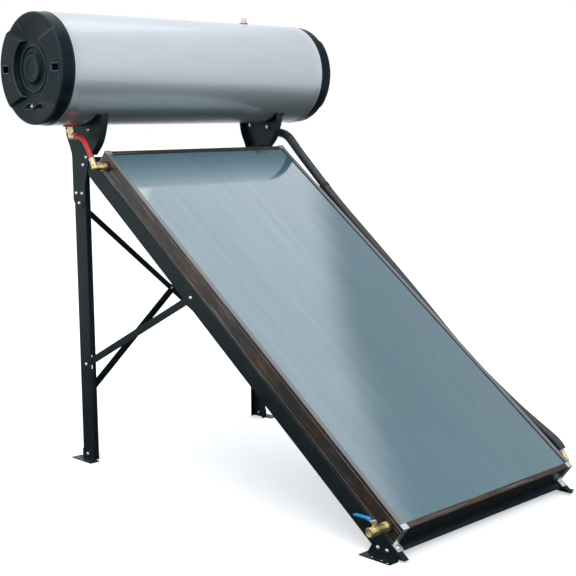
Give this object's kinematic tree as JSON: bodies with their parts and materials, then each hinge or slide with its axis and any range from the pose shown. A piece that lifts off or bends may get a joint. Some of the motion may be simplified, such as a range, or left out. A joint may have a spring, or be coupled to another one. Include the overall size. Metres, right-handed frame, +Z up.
{
  "type": "solar water heater",
  "caption": "Thermosiphon solar water heater: tilted glazed flat-plate collector on a channel stand, horizontal insulated tank above it, hot hose, insulated return pipe and drain ball valve.",
  "frame": {"origin": "centre of the stand's footprint box on the ground, z = 0 at the underside of the feet", "axes": "+X to the right seen from the front, across the tank; +Y from the collector's lower edge to the tank; +Z up"},
  "size_m": [1.5, 1.9694, 1.9052],
  "materials": {
    "jacket_paint": "satin silver-grey paint",
    "cap_plastic": "moulded, fine grain",
    "stand_paint": "dark slate powder coat",
    "frame_aluminium": "brown anodised",
    "glass": "low-iron, matt back",
    "seal_rubber": "matt black",
    "absorber": "selective blue-green coating",
    "copper": "bare copper",
    "mineral_wool": "glass-wool board",
    "back_steel": "pre-painted sheet",
    "zinc_clip": "bright zinc",
    "brass_fitting": "machined and cast brass",
    "vessel_steel": "enamelled steel",
    "nipple_steel": "galvanised",
    "foam": "rigid foam",
    "anode": "magnesium",
    "element": "sheathed element",
    "red_seal": "red silicone",
    "red_hose": "red hose",
    "ferrule": "crimped sleeve",
    "pipe_plastic": "white multilayer pipe",
    "pipe_foam": "closed-cell foam, satin skin",
    "clip_metal": "brown strip",
    "ptfe": "white",
    "ball_chrome": "plated ball",
    "lever_steel": "plated strip",
    "grip_blue": "dipped vinyl sleeve"
  },
  "bodies": {
    "heater": {"absorber_plate": "absorber", "anode_rod": "anode", "back_brace_a": "stand_paint", "back_brace_b": "stand_paint", "back_sheet": "back_steel", "collector_elbows": "brass_fitting", "collector_glass": "glass", "collector_insulation": "mineral_wool", "corner_clips": "zinc_clip", "cross_rail_bottom": "stand_paint", "cross_rail_top": "stand_paint", "end_cap_left": "cap_plastic", "end_cap_right": "cap_plastic", "end_cap_screws": "zinc_clip", "foot_front_left": "stand_paint", "foot_front_right": "stand_paint", "foot_rear_left": "stand_paint", "foot_rear_right": "stand_paint", "frame_bolts": "zinc_clip", "frame_bottom": "frame_aluminium", "frame_left": "frame_aluminium", "frame_nuts": "zinc_clip", "frame_right": "frame_aluminium", "frame_top": "frame_aluminium", "glass_gasket": "seal_rubber", "header_bottom": "copper", "header_grommets": "seal_rubber", "header_plug": "brass_fitting", "header_top": "copper", "heater_flange": "brass_fitting", "heater_gasket": "seal_rubber", "heating_element": "element", "hose_ferrules": "ferrule", "inner_tank": "vessel_steel", "nipple_seals": "red_seal", "pipe_clip": "clip_metal", "rear_leg_left": "stand_paint", "rear_leg_right": "stand_paint", "red_hose": "red_hose", "return_insulation": "pipe_foam", "return_pipe": "pipe_plastic", "riser_tubes": "copper", "saddle_left": "stand_paint", "saddle_right": "stand_paint", "side_brace_left": "stand_paint", "side_brace_right": "stand_paint", "side_rail_left": "stand_paint", "side_rail_right": "stand_paint", "tank_cradles": "stand_paint", "tank_elbows": "brass_fitting", "tank_insulation": "foam", "tank_jacket": "jacket_paint", "tank_nipples": "nipple_steel", "valve_body": "brass_fitting", "valve_seats": "ptfe"},
    "valve_handle": {"valve_ball": "ball_chrome", "valve_stem": "brass_fitting", "valve_lever": "lever_steel", "lever_grip": "grip_blue", "lever_nut": "zinc_clip"}
  },
  "joints": [
    {"name": "drain_valve_turn", "type": "hinge", "parent": "heater", "child": "valve_handle", "pos_m": [-0.577, -0.91269, 0.11287], "axis": [0, 0, 1], "range_deg": [0, 90]}
  ]
}
